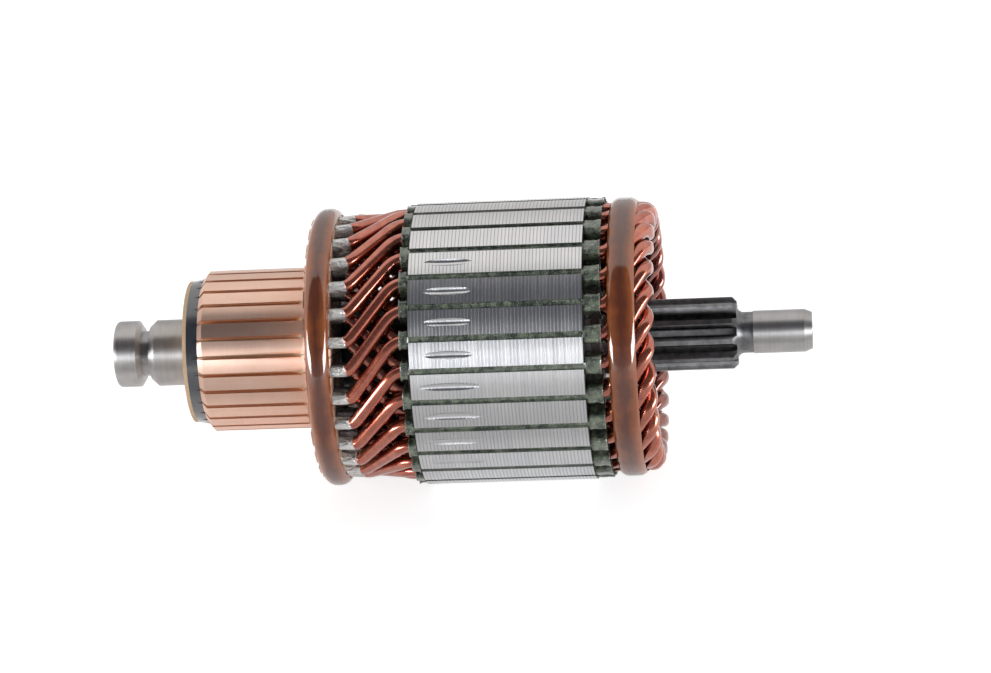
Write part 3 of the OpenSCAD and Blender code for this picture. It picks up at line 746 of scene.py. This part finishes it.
def floor_material():
    """A pale floor that the camera sees as white, with the object's shadow on it."""
    m, n = new_material("floor")
    place = n.add("ShaderNodeTexCoord").outputs["Object"]
    x, y, _ = n.add("ShaderNodeSeparateXYZ", {"Vector": place}).outputs
    path = n.add("ShaderNodeLightPath").outputs
    # In reflections the floor is bright beside the object, less so under it, and dark in front
    y_near, y_under = -0.046, -0.030
    width = n.remap(n.math("ABSOLUTE", x), 0.28, 0.09)
    front = n.math("MULTIPLY", width, n.remap(y, y_under, y_near))
    under = n.math("MULTIPLY", n.remap(y, y_near, y_under), n.remap(y, 0.10, 0.03))
    strength = n.math("SUBTRACT", 0.55, n.math("MULTIPLY", front, 0.50))
    strength = n.math("SUBTRACT", strength, n.math("MULTIPLY", under, 0.14))
    strength = n.remap(path["Is Camera Ray"], 0.0, 1.0, strength, 0.80)
    grey = n.mix(path["Is Camera Ray"], (0.80, 0.80, 0.80), (0.55, 0.55, 0.55))
    diffuse = n.add("ShaderNodeBsdfDiffuse", {"Color": grey})
    glow = n.add("ShaderNodeEmission", {"Color": (1.0, 1.0, 1.0), "Strength": strength})
    both = n.add("ShaderNodeAddShader")
    n.tree.links.new(diffuse.outputs[0], both.inputs[0])
    n.tree.links.new(glow.outputs[0], both.inputs[1])
    seen = n.math("MAXIMUM", path["Is Camera Ray"], path["Is Glossy Ray"])
    seen = n.math("MAXIMUM", seen, path["Is Transmission Ray"])
    pick = n.add("ShaderNodeMixShader", {"Fac": seen})
    n.tree.links.new(diffuse.outputs[0], pick.inputs[1])
    n.tree.links.new(both.outputs[0], pick.inputs[2])
    out = n.add("ShaderNodeOutputMaterial")
    n.tree.links.new(pick.outputs[0], out.inputs[0])
    return m


def add_floor():
    """A flat square just below the object."""
    half, gap = 4.0, 0.0002
    z = cad_box[0][2] - gap
    corners = [(-half, -half, z), (half, -half, z), (half, half, z), (-half, half, z)]
    mesh = bpy.data.meshes.new("floor")
    mesh.from_pydata(corners, [], [(0, 1, 2, 3)])
    mesh.materials.append(floor_material())
    floor = bpy.data.objects.new("floor", mesh)
    bpy.context.scene.collection.objects.link(floor)


def add_softbox(side):
    """A low, wide lamp on one side (-1 or 1), turned towards the object."""
    data = bpy.data.lights.new("softbox", "AREA")
    data.shape = "RECTANGLE"
    data.size, data.size_y = 0.70, 0.20
    data.energy = 5.6
    data.color = (0.96, 0.98, 1.0)
    lamp = bpy.data.objects.new("softbox", data)
    bpy.context.scene.collection.objects.link(lamp)
    lamp.location = (side * 0.83, -0.35, 0.072)
    lamp.rotation_euler = (-lamp.location).to_track_quat("-Z", "Y").to_euler()


def add_world():
    """A studio that the camera sees as white."""
    world = bpy.data.worlds.new("studio")
    world.use_nodes = True
    n = Nodes(world.node_tree)
    place = n.add("ShaderNodeTexCoord").outputs["Generated"]
    xyz = n.add("ShaderNodeSeparateXYZ", {"Vector": place})
    # A dark room in front, then a large white cloth overhead that is less bright behind. The
    # ramp goes from the front horizon (0) over the top (0.5) to the back horizon (1).
    angle = n.math("ARCTAN2", xyz.outputs["Z"], n.math("MULTIPLY", xyz.outputs["Y"], -1.0))
    turn = n.math("DIVIDE", angle, math.pi)
    level = n.ramp(turn, [
        (0.0, (0.40, 0.42, 0.46)), (0.06, (0.22, 0.23, 0.26)), (0.14, (0.10, 0.105, 0.12)),
        (0.458, (0.085, 0.09, 0.105)), (0.476, (1.0, 0.98, 0.96)),
        (0.70, (1.0, 0.98, 0.96)), (0.86, (0.72, 0.70, 0.69)), (1.0, (0.68, 0.67, 0.66))])
    seen = n.add("ShaderNodeLightPath").outputs["Is Camera Ray"]
    colour = n.mix(seen, level, (1.0, 1.0, 1.0))
    background = n.add("ShaderNodeBackground", {"Color": colour, "Strength": 1.0})
    out = n.add("ShaderNodeOutputWorld")
    n.tree.links.new(background.outputs[0], out.inputs[0])
    bpy.context.scene.world = world


def add_camera():
    """A long lens, nearly square to the shaft, from above and in front."""
    elevation = math.radians(24.06)
    distance = 0.900
    foot_x = 0.09765
    aim = Vector((0.00765, 0.0, 0.0))
    out = Vector((0.0, -math.cos(elevation), math.sin(elevation)))
    place = Vector((foot_x, 0.0, 0.0)) + out * distance
    rise = 0.00106
    aim = aim + Vector((0.0, math.sin(elevation), math.cos(elevation))) * rise
    data = bpy.data.cameras.new("camera")
    data.sensor_width = 36.0
    data.lens = 143.0
    data.clip_start, data.clip_end = 0.01, 50.0
    camera = bpy.data.objects.new("camera", data)
    bpy.context.scene.collection.objects.link(camera)
    back = (place - aim).normalized()
    # The camera is rolled a little, so that the shaft falls to the left in the picture
    slope = math.radians(-2.03)
    axis = Vector((1.0, 0.0, 0.0))
    flat = (axis - axis.dot(back) * back).normalized()
    up = back.cross(flat)
    right = flat * math.cos(slope) + up * math.sin(slope)
    up = back.cross(right)
    rotation = Matrix((right, up, back)).transposed().to_4x4()
    camera.matrix_world = Matrix.Translation(place) @ rotation
    bpy.context.scene.camera = camera


add_floor()
add_world()
add_camera()
add_softbox(-1)
add_softbox(1)
bpy.context.scene.view_settings.view_transform = "Standard"
